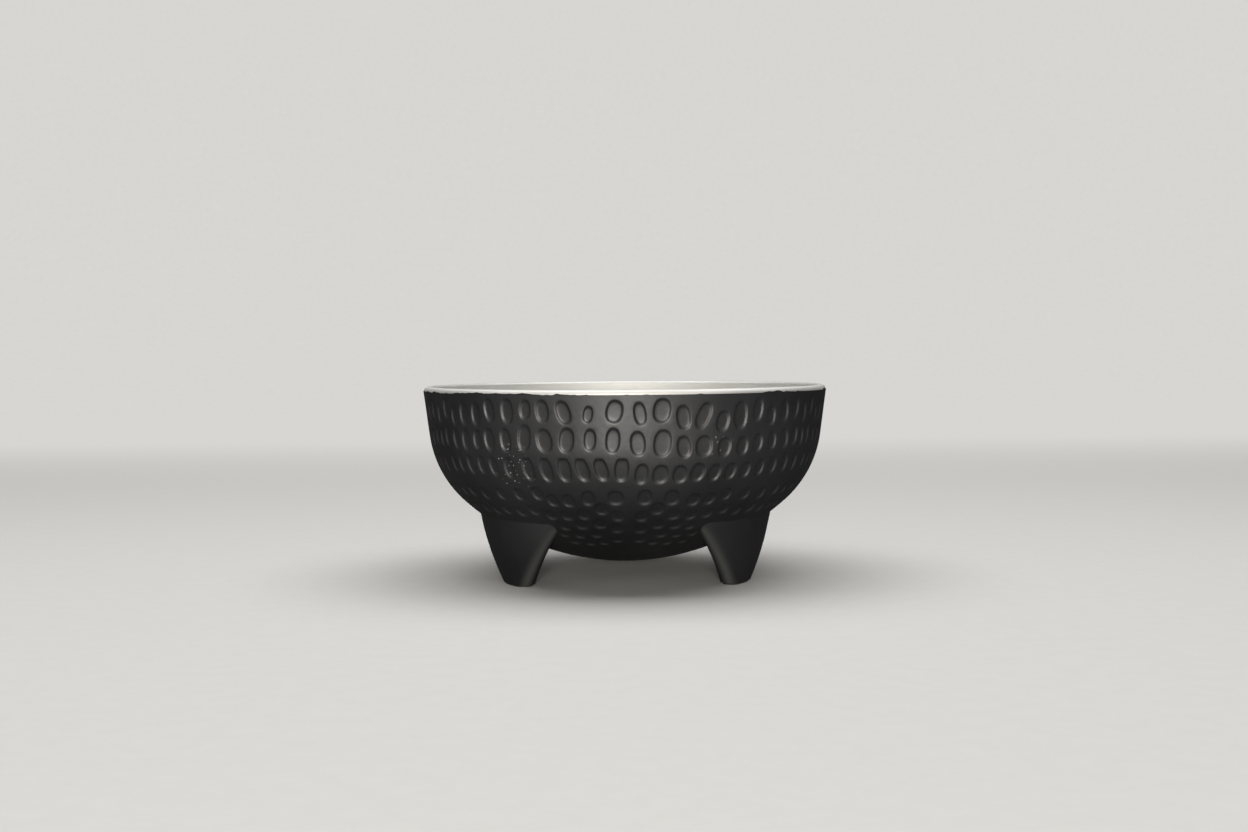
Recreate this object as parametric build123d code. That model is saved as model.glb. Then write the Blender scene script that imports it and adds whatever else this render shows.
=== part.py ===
"""A three-legged molcajete serving bowl: a black cast body, a bright aluminium liner, three screwed-on
legs and their non-slip pads.

Frame: +Z up, the table at Z = 0, the bowl's axis on Z, and the two front legs towards -Y.
All lengths are millimetres and all angles degrees.
"""

import os
from math import asin, cos, degrees, radians, sin, sqrt, tan

from build123d import *

# Body: a bowl of revolution, from the axis a belly arc, a tighter shoulder arc and a straight wall
RIM_RADIUS = 70.0  # outside of the body at its top edge
BODY_TOP = 64.5  # height of the body's top edge
BELLY_CLEARANCE = 5.5  # lowest point of the belly above the table
BELLY_TURN = 42.1  # the belly arc gives way to the shoulder arc at this slope
WALL_LENGTH = 15.4  # of the straight wall below the top edge
WALL_DRAFT = 8.1  # lean of the outside of the straight wall from vertical

# Inside of the body: the wall thickens from the rim down to the belly
RIM_WALL = 2.0
BELLY_WALL = 3.8
INSIDE_DRAFT = 9.5

# Liner: hangs in the body by its lip, with an air gap below for the screw heads
LINER_WALL = 1.1
LINER_SIDE_GAP = 0.15  # between liner and body at the top edge
LINER_DRAFT = 10.6
LINER_HEAD_GAP = 0.8  # air between a screw head and the liner above it
LIP_HEIGHT = 1.5
LIP_SETBACK = 0.2  # the lip stands this far inside the body's outer edge
LIP_OUTER_ROUND = 1.3
LIP_INNER_ROUND = 1.1

# Legs: curved plates that follow a cone about the bowl's axis, with round ends
LEG_AZIMUTHS = {"front_left": -60.0, "front_right": 60.0, "rear": 180.0}  # from -Y, towards +X
FOOT_BOTTOM = 0.5  # the casting's underside, held off the table by its pad
FOOT_OFFSET = 41.9  # middle of the foot's thickness from the bowl's axis
FOOT_SPAN = 13.8  # length of the foot, along the curve
LEG_THICKNESS = 7.2
LEG_LEAN = 12.8  # the plate leans outwards as it rises
LEG_SPREAD = 41.0  # each end moves away from the leg's middle as the leg rises
FOOT_CHAMFER = 0.4
LEG_POCKET = 1.2  # depth of the pocket in the belly that the leg sits in
POCKET_CLEARANCE = 0.1

# Lug: the cone on the leg's inner face that takes the screw
LUG_FOOT_RADIUS = 3.2
LUG_TOP_RADIUS = 5.0

# Pads: pushed into a recess in each foot
PAD_THICKNESS = 1.0
PAD_INSET = 0.8  # from the foot's outline to the pad's
PAD_CLEARANCE = 0.05

# Screws: button heads, from inside the body straight down into the legs
SCREW_RADIUS = 2.0
SCREW_LENGTH = 14.0  # under the head
SCREW_HEAD_RADIUS = 3.8
SCREW_HEAD_HEIGHT = 2.2
SCREW_HEAD_CROWN = 1.1  # rounding of the head's top edge
HEX_ACROSS_FLATS = 2.5
HEX_DEPTH = 1.3
THREAD_CLEARANCE = 0.05  # radial, in the leg's tapped hole
PASSAGE_CLEARANCE = 0.25  # radial, through the body
TAPPED_HOLE_EXTRA = 1.5  # the tapped hole is this much deeper than the screw reaches
BOSS_RADIUS = 4.8
BOSS_HEIGHT = 1.5  # of the screw's seat above the wall on the screw's axis


class BowlOutline:
    """Half section of a bowl: a belly arc, a shoulder arc and a drafted wall, each tangent to the next."""

    def __init__(self, rim_radius, draft, bottom, inset=0.0):
        self.top, self.bottom = BODY_TOP, bottom + inset
        self.rim_radius = rim_radius - inset / cos(radians(draft))
        self.draft = draft
        turn, lean = radians(BELLY_TURN), radians(draft)
        # The two arcs share out the width and the height that the straight wall leaves
        width = rim_radius - WALL_LENGTH * sin(lean)
        depth = BODY_TOP - bottom - WALL_LENGTH * cos(lean)
        shoulder_width, shoulder_depth = cos(lean) - sin(turn), cos(turn) - sin(lean)
        belly_width, belly_depth = sin(turn), 1 - cos(turn)
        share = belly_width * shoulder_depth - shoulder_width * belly_depth
        self.belly_radius = (width * shoulder_depth - shoulder_width * depth) / share - inset
        self.shoulder_radius = (belly_width * depth - width * belly_depth) / share - inset
        self.belly_centre = (0.0, self.bottom + self.belly_radius)
        reach = self.belly_radius - self.shoulder_radius
        self.shoulder_centre = (reach * sin(turn), self.belly_centre[1] - reach * cos(turn))
        self.belly_edge = self.on_belly(turn)
        self.wall_foot = self.on_shoulder(radians(90.0) - lean)

    def on_belly(self, turn):
        """The point of the belly arc where its slope is this turn."""
        across, drop = self.belly_radius * sin(turn), self.belly_radius * cos(turn)
        return (self.belly_centre[0] + across, self.belly_centre[1] - drop)

    def on_shoulder(self, turn):
        """The point of the shoulder arc where its slope is this turn."""
        across, drop = self.shoulder_radius * sin(turn), self.shoulder_radius * cos(turn)
        return (self.shoulder_centre[0] + across, self.shoulder_centre[1] - drop)

    def height(self, radius):
        """Height of the outline at a radius that is not on its straight wall."""
        on_belly = radius <= self.belly_edge[0]
        centre = self.belly_centre if on_belly else self.shoulder_centre
        arc_radius = self.belly_radius if on_belly else self.shoulder_radius
        return centre[1] - sqrt(arc_radius**2 - (radius - centre[0]) ** 2)

    def curves(self):
        """The outline's edges as (radius, height), from the bowl's axis up to its rim."""
        belly_middle = self.on_belly(radians(BELLY_TURN) / 2)
        shoulder_middle = self.on_shoulder(radians(BELLY_TURN + 90.0 - self.draft) / 2)
        belly = ThreePointArc((0, self.bottom), belly_middle, self.belly_edge)
        shoulder = ThreePointArc(self.belly_edge, shoulder_middle, self.wall_foot)
        wall = Line(self.wall_foot, (self.rim_radius, self.top))
        return [belly, shoulder, wall]

    def solid(self):
        """The bowl filled to its rim."""
        closing = Polyline((self.rim_radius, self.top), (0, self.top), (0, self.bottom))
        return revolved([*self.curves(), closing])


def revolved(edges):
    """A solid of revolution about Z from a closed half section drawn as (radius, height)."""
    section = make_face(Plane.XZ * Curve(edges))
    return revolve(section, Axis.Z)


BODY_OUTSIDE = BowlOutline(RIM_RADIUS, WALL_DRAFT, BELLY_CLEARANCE)
BODY_INSIDE = BowlOutline(RIM_RADIUS - RIM_WALL, INSIDE_DRAFT, BELLY_CLEARANCE + BELLY_WALL)
POCKET_FLOOR = BowlOutline(RIM_RADIUS, WALL_DRAFT, BELLY_CLEARANCE, inset=LEG_POCKET)
SCREW_SEAT = BODY_INSIDE.height(FOOT_OFFSET) + BOSS_HEIGHT
SCREW_TIP = SCREW_SEAT - SCREW_LENGTH


def liner_outline(inset=0.0):
    """The liner's outside, low enough to just clear the inner edges of the screw heads."""
    rim_radius = BODY_INSIDE.rim_radius - LINER_SIDE_GAP
    least_height = SCREW_SEAT + SCREW_HEAD_HEIGHT + LINER_HEAD_GAP
    bottom = BODY_INSIDE.bottom
    for _ in range(20):
        outline = BowlOutline(rim_radius, LINER_DRAFT, bottom)
        bottom += least_height - outline.height(FOOT_OFFSET - SCREW_HEAD_RADIUS)
    return BowlOutline(rim_radius, LINER_DRAFT, bottom, inset)


def at_leg(azimuth, shape):
    """Turns a shape made for a leg at -Y to the leg's own azimuth."""
    return Rot(0, 0, azimuth) * shape


def leg_section(height, grow=0.0):
    """The leg's outline at a height: a slot bent about the bowl's axis."""
    rise = height - FOOT_BOTTOM
    bend_radius = FOOT_OFFSET + rise * tan(radians(LEG_LEAN))
    half_span = (FOOT_SPAN - LEG_THICKNESS) / 2 + rise * tan(radians(LEG_SPREAD))
    turn = degrees(asin(half_span / bend_radius))
    middle = CenterArc((0, 0), bend_radius, -90 - turn, 2 * turn)
    return Pos(0, 0, height) * SlotArc(middle, LEG_THICKNESS + 2 * grow)


def leg_blank(grow=0.0):
    """A leg before its top is shaped, run up until it has sunk wholly into the body."""
    sunk_at = BODY_OUTSIDE.height(FOOT_OFFSET + LEG_THICKNESS) + LEG_THICKNESS + LEG_POCKET
    sections = [
        leg_section(FOOT_BOTTOM, grow - FOOT_CHAMFER),
        leg_section(FOOT_BOTTOM + FOOT_CHAMFER, grow),
        leg_section(sunk_at, grow),
    ]
    return loft(sections, ruled=True)


def lug_blank(grow=0.0):
    """The screw lug before its top is shaped, starting inside the foot."""
    low, high = FOOT_BOTTOM + FOOT_CHAMFER, SCREW_SEAT
    alignment = (Align.CENTER, Align.CENTER, Align.MIN)
    flare = Cone(LUG_FOOT_RADIUS + grow, LUG_TOP_RADIUS + grow, high - low, align=alignment)
    return Pos(0, -FOOT_OFFSET, low) * flare


def upright(radius, low, high):
    """A vertical cylinder on the screw's axis of a leg at -Y."""
    cylinder = Cylinder(radius, high - low, align=(Align.CENTER, Align.CENTER, Align.MIN))
    return Pos(0, -FOOT_OFFSET, low) * cylinder


def make_body():
    """The cast shell, with a boss inside and a pocket outside for each leg."""
    shell = BODY_OUTSIDE.solid() - BODY_INSIDE.solid()
    boss = upright(BOSS_RADIUS, BODY_OUTSIDE.bottom, SCREW_SEAT) & POCKET_FLOOR.solid()
    seat = upright(BOSS_RADIUS, SCREW_SEAT, BODY_TOP)
    passage = upright(SCREW_RADIUS + PASSAGE_CLEARANCE, 0, SCREW_SEAT)
    pocket = leg_blank(POCKET_CLEARANCE) + lug_blank(POCKET_CLEARANCE) - POCKET_FLOOR.solid()
    for azimuth in LEG_AZIMUTHS.values():
        shell += at_leg(azimuth, boss)
        shell -= at_leg(azimuth, seat + passage + pocket)
    return shell


def make_liner():
    """The bright inside of the bowl, with the rounded lip that rests on the body's top edge."""
    outside = liner_outline()
    inside = liner_outline(LINER_WALL)
    lip_top = BODY_TOP + LIP_HEIGHT
    lip_outer = RIM_RADIUS - LIP_SETBACK
    outer_shoulder = (lip_outer, lip_top - LIP_OUTER_ROUND)
    outer_crest = (lip_outer - LIP_OUTER_ROUND, lip_top)
    inner_crest = (inside.rim_radius + LIP_INNER_ROUND, lip_top)
    inner_shoulder = (inside.rim_radius, lip_top - LIP_INNER_ROUND)
    lip = [
        Polyline((outside.rim_radius, BODY_TOP), (lip_outer, BODY_TOP), outer_shoulder),
        RadiusArc(outer_shoulder, outer_crest, -LIP_OUTER_ROUND),
        Line(outer_crest, inner_crest),
        RadiusArc(inner_crest, inner_shoulder, -LIP_INNER_ROUND),
        Line(inner_shoulder, (inside.rim_radius, BODY_TOP)),
    ]
    axis_line = Line((0, inside.bottom), (0, outside.bottom))
    return revolved([*outside.curves(), *lip, *inside.curves(), axis_line])


def pad_blank(grow=0.0):
    """A pad for a leg at -Y: the foot's outline drawn in, raised to the pad's thickness."""
    outline = Pos(0, 0, -FOOT_BOTTOM) * leg_section(FOOT_BOTTOM, grow - PAD_INSET)
    return extrude(outline, PAD_THICKNESS)


def make_leg(azimuth):
    """One cast leg: its top fills the body's pocket, and its foot is recessed for a pad."""
    leg = leg_blank() + lug_blank() - POCKET_FLOOR.solid()
    tapped = upright(SCREW_RADIUS + THREAD_CLEARANCE, SCREW_TIP - TAPPED_HOLE_EXTRA, SCREW_SEAT)
    return at_leg(azimuth, leg - tapped - pad_blank(PAD_CLEARANCE))


def make_pad(azimuth):
    return at_leg(azimuth, pad_blank())


def make_screw(azimuth):
    """A button head socket screw, its shank drawn at the thread's outer diameter."""
    head_top = SCREW_SEAT + SCREW_HEAD_HEIGHT
    head = upright(SCREW_HEAD_RADIUS, SCREW_SEAT, head_top)
    head = fillet(head.edges().sort_by(Axis.Z)[-1], SCREW_HEAD_CROWN)
    hexagon = RegularPolygon(HEX_ACROSS_FLATS / 2, 6, major_radius=False)
    socket = Pos(0, -FOOT_OFFSET, head_top - HEX_DEPTH) * extrude(hexagon, HEX_DEPTH)
    return at_leg(azimuth, upright(SCREW_RADIUS, SCREW_TIP, SCREW_SEAT) + head - socket)


def main():
    parts = {"bowl_body": make_body(), "bowl_liner": make_liner()}
    for place, azimuth in LEG_AZIMUTHS.items():
        parts[f"leg_{place}"] = make_leg(azimuth)
        parts[f"leg_screw_{place}"] = make_screw(azimuth)
        parts[f"foot_pad_{place}"] = make_pad(azimuth)
    os.makedirs("parts", exist_ok=True)
    for name, shape in parts.items():
        export_step(shape, f"parts/{name}.step")
        print(name, len(shape.solids()), "solid", round(shape.volume), "mm3")


main()
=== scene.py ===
"""A three-legged molcajete serving bowl: dimpled satin black casting, bright turned aluminium inside.

Laid out as an add-on: sizes and finishes are scene properties, each piece has its own operator, and a
panel in the 3D view's sidebar lists them. All lengths are metres, and all angles radians unless a name
says degrees. The bowl's axis is Z, the table is Z = 0, and the front is -Y, midway between two legs.
"""

from math import asin, cos, pi, radians, sin, tan
from random import Random

import bpy
import numpy as np
from bpy.props import FloatProperty, FloatVectorProperty, IntProperty, PointerProperty
from mathutils import Matrix, Vector
from mathutils.geometry import delaunay_2d_cdt


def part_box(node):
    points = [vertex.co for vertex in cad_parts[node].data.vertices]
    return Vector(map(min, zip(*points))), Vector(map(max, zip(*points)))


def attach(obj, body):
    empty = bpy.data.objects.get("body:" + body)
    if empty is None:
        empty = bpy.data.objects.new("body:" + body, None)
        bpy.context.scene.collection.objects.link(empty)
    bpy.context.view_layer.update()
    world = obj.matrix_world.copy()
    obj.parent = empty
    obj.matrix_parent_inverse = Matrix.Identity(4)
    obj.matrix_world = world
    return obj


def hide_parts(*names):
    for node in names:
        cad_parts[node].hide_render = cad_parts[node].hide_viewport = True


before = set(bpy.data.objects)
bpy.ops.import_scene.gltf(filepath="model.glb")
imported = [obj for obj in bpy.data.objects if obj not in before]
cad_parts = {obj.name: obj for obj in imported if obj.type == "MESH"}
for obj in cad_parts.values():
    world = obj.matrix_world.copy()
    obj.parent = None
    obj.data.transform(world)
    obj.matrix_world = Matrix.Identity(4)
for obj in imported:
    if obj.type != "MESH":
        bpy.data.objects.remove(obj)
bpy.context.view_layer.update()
BODY_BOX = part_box("bowl_body")
LINER_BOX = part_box("bowl_liner")

bl_info = {
    "name": "Molcajete Serving Bowl",
    "version": (1, 0, 0),
    "blender": (4, 5, 0),
    "location": "View3D > Sidebar > Molcajete",
    "description": "Builds a dimpled three-legged molcajete bowl with its stage",
    "category": "Add Mesh",
}

MM = 0.001
SECTORS = 3  # the mould's three equal segments, one leg between each two
LEG_AZIMUTHS = {"front_left": -60.0, "front_right": 60.0, "rear": 180.0}  # degrees from -Y, towards +X


class BowlSizes(bpy.types.PropertyGroup):
    """Sizes of the bowl's visible pieces."""

    rim_radius: FloatProperty(
        name="Rim radius", description="Outside of the body at its top edge",
        default=float(BODY_BOX[1][0]), unit="LENGTH",
    )
    body_top: FloatProperty(
        name="Body top", description="Height of the body's top edge above the table",
        default=float(BODY_BOX[1][2]), unit="LENGTH",
    )
    belly_bottom: FloatProperty(
        name="Belly clearance", description="Lowest point of the belly above the table",
        default=float(BODY_BOX[0][2]), unit="LENGTH",
    )
    wall_length: FloatProperty(
        name="Wall length", description="Straight wall below the top edge",
        default=15.4 * MM, unit="LENGTH",
    )
    wall_draft: FloatProperty(
        name="Wall draft", description="Lean of the straight wall from vertical",
        default=radians(8.1), subtype="ANGLE",
    )
    belly_turn: FloatProperty(
        name="Belly turn", description="Slope where the belly arc gives way to the shoulder arc",
        default=radians(42.1), subtype="ANGLE",
    )
    lip_setback: FloatProperty(
        name="Lip setback", description="How far inside the body's outer edge the lip stands",
        default=0.2 * MM, unit="LENGTH",
    )
    dimple_depth: FloatProperty(
        name="Dimple depth", description="Depth of each recessed oval",
        default=0.62 * MM, unit="LENGTH",
    )
    mesh_pitch: FloatProperty(
        name="Mesh pitch", description="Spacing of the body's points between the dimples",
        default=1.35 * MM, unit="LENGTH",
    )
    dimple_points: IntProperty(
        name="Dimple points", description="Points around each recessed oval", default=30, min=12,
    )


class BowlFinish(bpy.types.PropertyGroup):
    """Colours and gloss of the bowl's finishes."""

    coat_color: FloatVectorProperty(
        name="Coat", description="Satin black coat", subtype="COLOR", size=3,
        default=(0.0048, 0.0051, 0.0056), min=0, max=1,
    )
    # Colour of a painted highlight along the round ends of the legs, standing in for light there rather than
    # wear
    painted_highlight_color: FloatVectorProperty(
        name="Painted leg highlight", description="Coat on the round ends of the legs", subtype="COLOR", size=3,
        default=(0.050, 0.052, 0.049), min=0, max=1,
    )
    coat_roughness: FloatProperty(
        name="Coat roughness", description="Roughness of the satin coat", default=0.54, min=0, max=1,
    )
    metal_color: FloatVectorProperty(
        name="Bare metal", description="Turned aluminium", subtype="COLOR", size=3,
        default=(0.78, 0.772, 0.74), min=0, max=1,
    )
    stage_color: FloatVectorProperty(
        name="Stage", description="Pale floor and backdrop", subtype="COLOR", size=3,
        default=(0.68, 0.67, 0.645), min=0, max=1,
    )


# ---------------------------------------------------------------------------------------------------
# Shared shapes


class BowlOutline:
    """Half section of a bowl, measured by the distance down its surface from the top edge."""

    def __init__(self, sizes, rim_radius, draft, bottom):
        self.rim_radius, self.draft, self.top, self.bottom = rim_radius, draft, sizes.body_top, bottom
        self.turn, self.wall_length = sizes.belly_turn, sizes.wall_length
        width = rim_radius - self.wall_length * sin(draft)
        depth = self.top - bottom - self.wall_length * cos(draft)
        shoulder_width, shoulder_depth = cos(draft) - sin(self.turn), cos(self.turn) - sin(draft)
        belly_width, belly_depth = sin(self.turn), 1 - cos(self.turn)
        share = belly_width * shoulder_depth - shoulder_width * belly_depth
        self.belly_radius = (width * shoulder_depth - shoulder_width * depth) / share
        self.shoulder_radius = (belly_width * depth - width * belly_depth) / share
        reach = self.belly_radius - self.shoulder_radius
        self.shoulder_centre = (
            reach * sin(self.turn),
            bottom + self.belly_radius - reach * cos(self.turn),
        )
        self.shoulder_end = self.wall_length + self.shoulder_radius * (pi / 2 - draft - self.turn)
        self.length = self.shoulder_end + self.belly_radius * self.turn

    def slope(self, drop):
        """Turn of the surface from level, at a distance down from the top edge."""
        on_shoulder = pi / 2 - self.draft - (drop - self.wall_length) / self.shoulder_radius
        on_belly = self.turn - (drop - self.shoulder_end) / self.belly_radius
        turns = np.where(drop <= self.shoulder_end, on_shoulder, on_belly)
        return np.where(drop <= self.wall_length, pi / 2 - self.draft, turns)

    def place(self, drop):
        """Radius and height of the surface at a distance down from the top edge."""
        turn = self.slope(drop)
        centre_x, centre_z = self.shoulder_centre
        wall_r, wall_z = self.rim_radius - drop * sin(self.draft), self.top - drop * cos(self.draft)
        shoulder_r = centre_x + self.shoulder_radius * np.sin(turn)
        shoulder_z = centre_z - self.shoulder_radius * np.cos(turn)
        belly_r = self.belly_radius * np.sin(turn)
        belly_z = self.bottom + self.belly_radius * (1 - np.cos(turn))
        on_wall, on_shoulder = drop <= self.wall_length, drop <= self.shoulder_end
        r = np.where(on_wall, wall_r, np.where(on_shoulder, shoulder_r, belly_r))
        z = np.where(on_wall, wall_z, np.where(on_shoulder, shoulder_z, belly_z))
        return r, z

    def points(self, azimuth, drop, depth=0.0):
        """Points on the bowl, sunk by a depth square to its surface."""
        r, z = self.place(drop)
        turn = self.slope(drop)
        r, z = r - depth * np.sin(turn), z + depth * np.cos(turn)
        return np.stack([r * np.sin(azimuth), -r * np.cos(azimuth), z + 0 * azimuth], axis=-1)


def body_outline(sizes):
    return BowlOutline(sizes, sizes.rim_radius, sizes.wall_draft, sizes.belly_bottom)


def mesh_object(name, points, faces, smooth_angle=radians(50)):
    """A mesh object at the origin with its faces pointing outwards."""
    mesh = bpy.data.meshes.new(name)
    mesh.from_pydata([tuple(p) for p in points], [], faces)
    piece = bpy.data.objects.new(name, mesh)
    bpy.context.scene.collection.objects.link(piece)
    select_only(piece)
    bpy.ops.object.mode_set(mode="EDIT")
    bpy.ops.mesh.select_all(action="SELECT")
    bpy.ops.mesh.remove_doubles(threshold=1e-7)
    bpy.ops.mesh.normals_make_consistent(inside=False)
    bpy.ops.object.mode_set(mode="OBJECT")
    bpy.ops.object.shade_smooth_by_angle(angle=smooth_angle)
    return piece


def select_only(piece):
    bpy.ops.object.select_all(action="DESELECT")
    piece.select_set(True)
    bpy.context.view_layer.objects.active = piece


def finish_piece(piece, material, slot, *nodes):
    """Gives a piece its material and its place in the frame."""
    piece.data.materials.clear()
    piece.data.materials.append(material)
    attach(piece, "root")
    if nodes:
        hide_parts(*nodes)


# ---------------------------------------------------------------------------------------------------
# Dimples: each is (azimuth, distance below the top edge, width, height, lean), with its angles in degrees
# and its lengths in millimetres. The sector from -60 to 60 degrees is repeated for each leg.

WALL_ROWS = [
    [
        (-59.1, 4.9, 3.7, 7.5, 0), (-54.8, 7.4, 3.4, 6.5, 0), (-50.0, 6.4, 4.6, 8.5, 0),
        (-45.0, 6.4, 4.2, 8.5, 0), (-39.7, 5.0, 4.6, 8.3, -8), (-33.7, 5.2, 5.0, 8.8, 0),
        (-28.1, 4.7, 4.4, 7.0, 8), (-23.2, 5.1, 4.9, 8.0, -4), (-17.4, 5.5, 5.1, 8.4, -18),
        (-10.9, 6.1, 3.5, 6.0, 10), (-4.1, 5.2, 5.8, 8.0, 12), (2.4, 5.9, 4.3, 8.2, -10),
        (8.1, 5.0, 6.2, 8.4, 6), (13.8, 7.2, 5.1, 8.5, -8), (19.3, 6.8, 5.0, 9.6, 22),
        (24.9, 8.7, 5.0, 7.5, 12), (30.3, 7.0, 5.5, 9.8, 0), (36.0, 5.4, 4.5, 8.3, 6),
        (41.1, 7.5, 4.3, 7.1, 0), (46.4, 6.1, 4.6, 8.1, -6), (51.6, 5.4, 4.5, 7.5, 5),
        (56.4, 6.8, 3.9, 7.6, -4),
    ],
    [
        (-59.9, 14.1, 4.0, 7.5, 4), (-55.1, 14.8, 4.1, 7.5, -6), (-50.4, 15.0, 4.4, 7.7, 0),
        (-45.4, 14.7, 4.1, 6.9, 0), (-40.7, 14.5, 4.7, 8.3, -6), (-35.0, 14.5, 4.6, 8.4, -4),
        (-29.0, 13.6, 5.1, 9.3, 8), (-23.1, 14.4, 5.8, 8.3, -10), (-16.9, 14.2, 5.4, 8.8, 8),
        (-10.6, 14.0, 4.3, 7.8, 4), (-4.6, 14.2, 4.9, 8.8, 5), (1.9, 15.2, 5.2, 8.6, -5),
        (8.4, 15.2, 6.2, 9.4, 6), (14.2, 16.5, 5.1, 7.9, -10), (19.8, 16.4, 6.1, 7.5, 0),
        (25.9, 16.9, 5.1, 7.1, 10), (31.6, 16.8, 4.8, 6.7, 4), (36.9, 16.0, 4.4, 6.5, 6),
        (42.3, 15.6, 4.3, 6.7, 0), (47.6, 15.2, 4.6, 7.3, -5), (52.4, 14.4, 4.4, 7.5, 5),
        (56.4, 14.9, 3.6, 7.2, 0),
    ],
    [
        (-59.1, 23.3, 3.9, 7.4, 0), (-54.7, 23.2, 3.8, 7.1, 4), (-50.2, 23.4, 4.1, 7.5, -4),
        (-45.4, 23.1, 3.8, 6.9, 0), (-40.7, 23.4, 4.0, 7.5, -5), (-35.2, 23.6, 4.2, 8.1, 0),
        (-28.9, 23.7, 4.5, 9.1, -6), (-23.4, 23.9, 4.7, 9.4, -9), (-18.1, 23.7, 4.9, 9.4, -5),
        (-13.1, 23.6, 4.7, 9.2, -14), (-7.9, 23.6, 4.7, 8.8, -14), (-2.4, 23.6, 4.9, 9.2, 5),
        (3.0, 25.2, 4.7, 8.0, 6), (8.2, 25.4, 5.6, 7.2, 6), (13.7, 25.5, 5.3, 6.9, 0),
        (18.8, 25.0, 5.3, 7.1, 14), (23.9, 25.3, 4.8, 6.8, 16), (28.9, 25.1, 4.7, 6.5, 10),
        (34.0, 24.9, 4.3, 6.2, 8), (39.2, 24.4, 4.2, 6.5, 5), (44.4, 24.0, 4.4, 6.9, 0),
        (49.7, 23.6, 4.4, 7.3, -5), (55.0, 23.7, 4.2, 7.3, 4),
    ],
]
BELLY_ROWS = [
    [
        (-56.7, 33.7, 4.2, 5.8, 0), (-49.7, 34.3, 4.4, 5.8, 8), (-42.0, 33.8, 4.3, 5.6, 0),
        (-34.9, 33.5, 4.2, 5.6, 0), (-28.3, 32.9, 4.2, 5.9, -10), (-23.9, 35.6, 4.5, 5.8, -8),
        (-18.8, 35.6, 4.8, 6.1, 0), (-12.5, 34.4, 5.0, 7.2, 8), (-4.3, 34.2, 5.8, 6.6, 0),
        (4.3, 34.1, 5.4, 7.0, 0), (12.5, 34.4, 5.4, 7.2, -10), (19.4, 35.6, 5.0, 5.9, 8),
        (24.7, 35.5, 4.6, 5.6, 10), (30.2, 33.8, 4.1, 5.6, 0), (37.5, 34.2, 4.5, 5.8, 0),
        (44.8, 34.5, 4.6, 5.9, -8), (51.8, 34.0, 4.5, 5.8, 5), (57.6, 34.2, 3.9, 5.6, 0),
    ],
    [
        (-57.4, 41.6, 4.3, 5.8, 0), (-51.0, 42.2, 4.5, 6.0, 5), (-44.8, 41.4, 4.3, 5.6, 0),
        (-38.6, 42.0, 4.5, 5.8, -5), (-32.6, 40.8, 4.2, 5.4, 0), (-27.0, 43.0, 4.4, 5.6, 0),
        (-21.2, 42.8, 4.7, 6.0, 0), (-15.1, 42.0, 4.8, 6.4, 5), (-9.0, 39.2, 4.9, 6.6, 0),
        (-4.0, 42.6, 4.8, 6.6, 0), (3.9, 43.0, 4.7, 6.5, 0), (8.6, 39.2, 4.9, 6.6, 0),
        (14.6, 42.4, 5.0, 6.2, -5), (20.9, 43.1, 4.6, 5.6, 0), (26.8, 42.6, 4.5, 5.6, 0),
        (32.6, 41.0, 4.3, 5.4, 0), (38.8, 42.2, 4.5, 5.8, 5), (45.2, 41.6, 4.4, 5.8, 0),
        (51.4, 42.2, 4.4, 5.9, -5), (57.0, 41.6, 4.0, 5.6, 0),
    ],
    [
        (-24.5, 49.4, 4.3, 5.3, 0), (-17.5, 48.2, 4.9, 6.0, 0), (-10.5, 47.3, 5.1, 6.2, 0),
        (-4.6, 50.0, 5.0, 6.5, 0), (4.1, 50.3, 4.9, 6.5, 0), (10.3, 47.8, 5.0, 6.0, 0),
        (16.9, 48.3, 4.8, 6.0, 0), (23.2, 49.4, 4.3, 5.3, 0),
    ],
    [
        (-27.4, 54.6, 4.0, 4.8, 0), (-20.6, 54.9, 4.4, 5.2, 0), (-13.2, 54.0, 4.8, 5.6, 0),
        (13.0, 54.2, 4.8, 5.6, 0), (20.0, 54.9, 4.4, 5.2, 0), (27.2, 54.6, 4.0, 4.8, 0),
    ],
    [
        (-25.6, 60.4, 4.2, 4.8, 0), (-18.2, 61.0, 4.3, 4.8, 0), (-11.4, 60.2, 4.4, 4.8, 0),
        (-5.0, 57.6, 4.8, 5.6, 0), (4.6, 57.8, 4.8, 5.6, 0), (11.2, 60.4, 4.4, 4.8, 0),
        (18.4, 61.0, 4.3, 4.8, 0), (25.8, 60.4, 4.2, 4.8, 0),
    ],
]
# The mould's joints, in millimetres. One cuts the third row's tops straight, left of a sector's middle. The
# other stands upright in the middle of each sector, and shows from a distance below the top edge down to a
# radius near the axis.
STRAIGHT_TOP_DROP = 19.6
PARTING_START = 29.0
PARTING_LEFT, PARTING_RIGHT = -1.45, 0.85  # edges of the upright joint's smooth band
PARTING_INNER_RADIUS = 12.0
PARTING_BAND = 0.75  # half width of the strip that is kept for the flash line's own points
FLASH_HALF_WIDTH = 0.3
FLASH_HEIGHT = 0.11

# How the ovals are shaped. Lengths are in millimetres.
SQUARENESS = 2.3  # 2 is a true ellipse, and more is squarer
DIMPLE_GAP = 0.32  # least wall between two ovals
MESH_GAP = 0.42  # the body's other points keep this far from an oval's edge
LEG_GAP = 0.3  # wall left between an oval and a leg
FULL_DEPTH_HALF_WIDTH = 2.2  # a narrower oval is shallower
FULL_INSET_SIZE = 3.0  # a smaller oval has a narrower wall
# Rings from an oval's edge inwards: (inset, share of the depth), then (share of the size, share of the depth)
DIMPLE_WALL = ((0.10, 0.02), (0.36, 0.20), (0.64, 0.54), (0.92, 0.82), (1.18, 0.91))
DIMPLE_FLOOR = ((0.42, 0.96), (0.20, 0.99))

# How the ovals differ from one sector to the next, for the sectors beside the front one
VARIED_SEED = 5
VARIED_LEAN = 7  # degrees
VARIED_WIDTH = 0.06  # share of the width
VARIED_DROP = 0.25  # millimetres


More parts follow.
